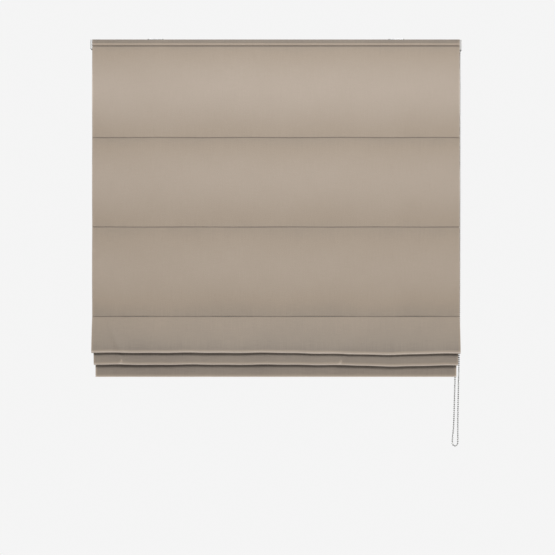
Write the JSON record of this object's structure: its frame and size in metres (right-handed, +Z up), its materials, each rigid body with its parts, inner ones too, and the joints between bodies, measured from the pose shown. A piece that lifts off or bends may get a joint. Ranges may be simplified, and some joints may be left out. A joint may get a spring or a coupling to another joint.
{
  "type": "roman blind",
  "caption": "Lined roman blind with rod pockets, lift cords, slim headrail and a ball-chain clutch, partly raised with two gathered folds.",
  "frame": {"origin": "on the window recess's ceiling, at the centre of the four fixing holes of the two brackets", "axes": "+X along the headrail towards the chain, +Y towards the window, +Z up"},
  "size_m": [1.084, 0.0774, 1.193],
  "materials": {
    "rail_aluminium": "satin anodised",
    "moulded_white": "matt moulded",
    "zinc_plate": "zinc plated",
    "cam_moulding": "matt moulded",
    "spring_steel": "bright drawn",
    "acetal": "smooth moulded",
    "nickel_chain": "bright nickel plate",
    "face_cloth": "smooth satin weave",
    "lining_cloth": "sateen lining",
    "lift_cord": "braided polyester",
    "tape": "hook and loop",
    "fibreglass": "pultruded",
    "rod_tip_vinyl": "soft vinyl",
    "clear_moulding": "translucent moulding"
  },
  "bodies": {
    "headrail": {"headrail": "rail_aluminium", "hook_tape": "tape", "loop_tape": "tape", "end_cap": "moulded_white", "clutch_housing": "moulded_white", "clutch_cover": "moulded_white", "cover_screws": "zinc_plate", "brake_spring": "spring_steel", "bracket_left": "zinc_plate", "bracket_right": "zinc_plate", "cam_rivet_left": "zinc_plate", "cam_rivet_right": "zinc_plate", "spool_cradle_left": "acetal", "spool_cradle_middle": "acetal", "spool_cradle_right": "acetal", "face_fabric": "face_cloth", "lining": "lining_cloth", "lift_cord_left": "lift_cord", "lift_cord_middle": "lift_cord", "lift_cord_right": "lift_cord", "bead_chain": "nickel_chain", "chain_wrap": "nickel_chain"},
    "drive": {"drive_shaft": "spring_steel", "shaft_bush": "acetal", "chain_wheel": "acetal", "spool_left": "acetal", "spool_middle": "acetal", "spool_right": "acetal"},
    "cam_left": {"cam_left": "cam_moulding"},
    "cam_right": {"cam_right": "cam_moulding"},
    "rod_1": {"rod_1": "fibreglass", "rod_tips_1": "rod_tip_vinyl", "rod_pocket_1": "lining_cloth", "cord_guides_1": "clear_moulding"},
    "rod_2": {"rod_2": "fibreglass", "rod_tips_2": "rod_tip_vinyl", "rod_pocket_2": "lining_cloth", "cord_guides_2": "clear_moulding"},
    "rod_3": {"rod_3": "fibreglass", "rod_tips_3": "rod_tip_vinyl", "rod_pocket_3": "lining_cloth", "cord_guides_3": "clear_moulding"},
    "rod_4": {"rod_4": "fibreglass", "rod_tips_4": "rod_tip_vinyl", "rod_pocket_4": "lining_cloth", "cord_guides_4": "clear_moulding"},
    "bottom": {"rod_5": "fibreglass", "rod_tips_5": "rod_tip_vinyl", "rod_pocket_5": "lining_cloth", "cord_guides_5": "clear_moulding", "cord_anchors": "clear_moulding", "bottom_bar": "rail_aluminium", "bar_end_caps": "moulded_white", "hem_sleeve": "lining_cloth"}
  },
  "joints": [
    {"name": "lift_1", "type": "slide", "parent": "headrail", "child": "rod_1", "axis": [0, 0, 1], "range_m": [0, 0.243], "deforming": ["face_fabric", "lining", "lift_cord_left", "lift_cord_middle", "lift_cord_right"]},
    {"name": "lift_2", "type": "slide", "parent": "rod_1", "child": "rod_2", "axis": [0, 0, 1], "range_m": [0, 0.243]},
    {"name": "lift_3", "type": "slide", "parent": "rod_2", "child": "rod_3", "axis": [0, 0, 1], "range_m": [0, 0.243]},
    {"name": "drop_4", "type": "slide", "parent": "rod_3", "child": "rod_4", "axis": [0, 0, 1], "range_m": [-0.182, 0]},
    {"name": "drop_5", "type": "slide", "parent": "rod_4", "child": "bottom", "axis": [0, 0, 1], "range_m": [-0.216, 0]},
    {"name": "shaft_turn", "type": "hinge", "parent": "headrail", "child": "drive", "pos_m": [0, 0, -0.0185], "axis": [1, 0, 0], "range_deg": [0, 5722.2]},
    {"name": "cam_turn_left", "type": "hinge", "parent": "headrail", "child": "cam_left", "pos_m": [-0.36, 0, -0.004], "axis": [0, 0, 1], "range_deg": [0, 90]},
    {"name": "cam_turn_right", "type": "hinge", "parent": "headrail", "child": "cam_right", "pos_m": [0.36, 0, -0.004], "axis": [0, 0, 1], "range_deg": [0, 90]}
  ],
  "couplings": [
    {"joint": "lift_2", "follows": "lift_1", "ratio": 1},
    {"joint": "lift_3", "follows": "lift_1", "ratio": 1},
    {"joint": "shaft_turn", "follows": "lift_1", "rad_per_m": 410.96},
    {"joint": "drop_5", "follows": "drop_4", "ratio": 1.1868}
  ]
}
